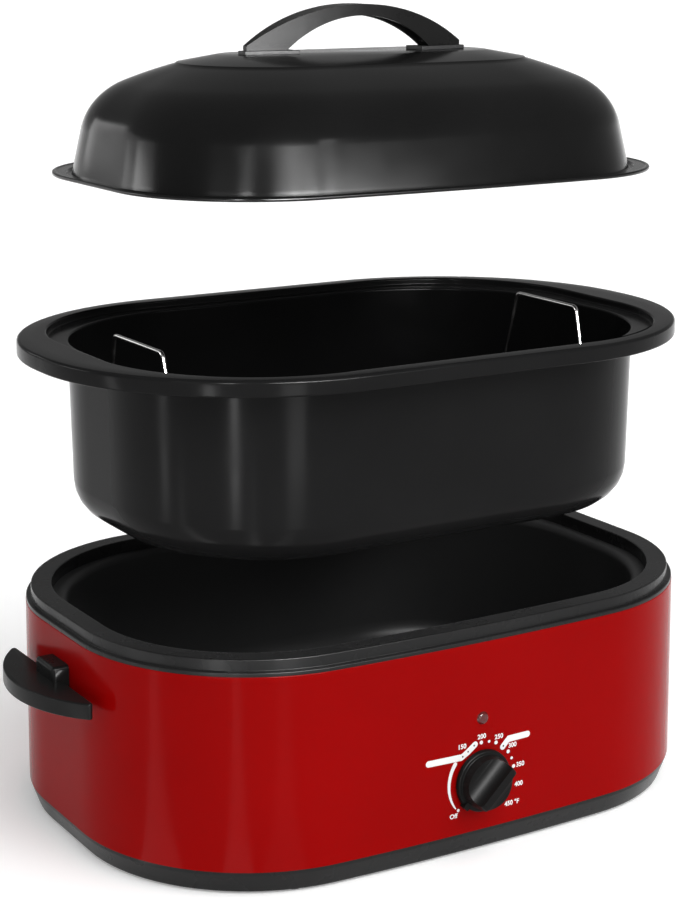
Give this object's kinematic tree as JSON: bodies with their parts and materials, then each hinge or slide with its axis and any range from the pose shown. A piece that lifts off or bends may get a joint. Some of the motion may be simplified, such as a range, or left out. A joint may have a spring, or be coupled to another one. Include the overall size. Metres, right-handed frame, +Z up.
{
  "type": "electric roaster oven",
  "caption": "Electric countertop roaster: red oval body with side handles, heated well and dial, lift-out pan with wire rack, lift-off domed lid.",
  "frame": {"origin": "on the table, under the middle of the whole part; the oval body stands 10.55 mm behind it, because the dial reaches further out than the bushing at the back", "axes": "+Z up; the dial and lamp face -Y; the long axis and the side handles lie along X"},
  "size_m": [0.5958, 0.396, 0.6313],
  "materials": {
    "black_plastic": "satin black heat-resistant plastic",
    "galvanised": "plain galvanised steel",
    "screw_steel": "zinc-plated steel",
    "foot_rubber": "matt black rubber",
    "bright_aluminium": "bright rolled aluminium",
    "insulation": "loose mineral-fibre blanket",
    "red_enamel": "deep glossy red",
    "dark_enamel": "speckle-free dark enamel, satin",
    "ceramic": "glazed ceramic",
    "copper": "copper tube",
    "lamp_lens": "clear amber-red lens",
    "lamp_glass": "small neon lamp",
    "sleeve": "woven glass sleeve over the leads",
    "knob_plastic": "glossy black",
    "pan_enamel": "semi-gloss dark enamel",
    "rack_chrome": "bright chrome wire",
    "lid_enamel": "semi-gloss black enamel",
    "handle_plastic": "satin black heat-resistant plastic",
    "gasket_rubber": "heat-resistant pad"
  },
  "bodies": {
    "body": {"base_ring": "black_plastic", "bottom_plate": "galvanised", "bottom_plate_screws": "screw_steel", "rubber_feet": "foot_rubber", "hold_down_stud": "screw_steel", "hold_down_nut": "screw_steel", "stud_spacer": "galvanised", "reflector_plate": "bright_aluminium", "insulation_pad": "insulation", "outer_shell": "red_enamel", "top_rim": "black_plastic", "cooking_well": "dark_enamel", "heater_band": "galvanised", "heater_terminals": "screw_steel", "insulation_blanket": "insulation", "thermostat_bracket": "galvanised", "thermostat_body": "ceramic", "thermostat_screws": "screw_steel", "thermostat_probe": "copper", "thermal_fuse": "ceramic", "indicator_lens": "lamp_lens", "neon_lamp": "lamp_glass", "lens_clip": "galvanised", "cord_bushing": "foot_rubber", "terminal_block": "ceramic", "wiring_harness": "sleeve", "side_handle_right": "black_plastic", "side_handle_left": "black_plastic", "handle_backing_plates": "galvanised", "handle_screws": "screw_steel"},
    "pan": {"roasting_pan": "pan_enamel"},
    "rack": {"rack_frame": "rack_chrome", "rack_cross_wires": "rack_chrome", "rack_loops": "rack_chrome"},
    "lid": {"lid_shell": "lid_enamel", "lid_handle": "handle_plastic", "lid_handle_gaskets": "gasket_rubber", "lid_handle_washers": "galvanised", "lid_handle_screws": "screw_steel"},
    "knob": {"thermostat_shaft": "screw_steel", "knob_insert": "galvanised", "control_knob": "knob_plastic"}
  },
  "joints": [
    {"name": "pan_lift", "type": "slide", "parent": "body", "child": "pan", "axis": [0, 0, 1], "range_m": [-0.189, 0]},
    {"name": "lid_lift", "type": "slide", "parent": "pan", "child": "lid", "axis": [0, 0, 1], "range_m": [-0.128, 0]},
    {"name": "rack_lift", "type": "slide", "parent": "pan", "child": "rack", "axis": [0, 0, 1], "range_m": [0, 0.045]},
    {"name": "knob_turn", "type": "hinge", "parent": "body", "child": "knob", "pos_m": [0, -0.17445, 0.058], "axis": [0, 1, 0], "range_deg": [0, 266]}
  ]
}
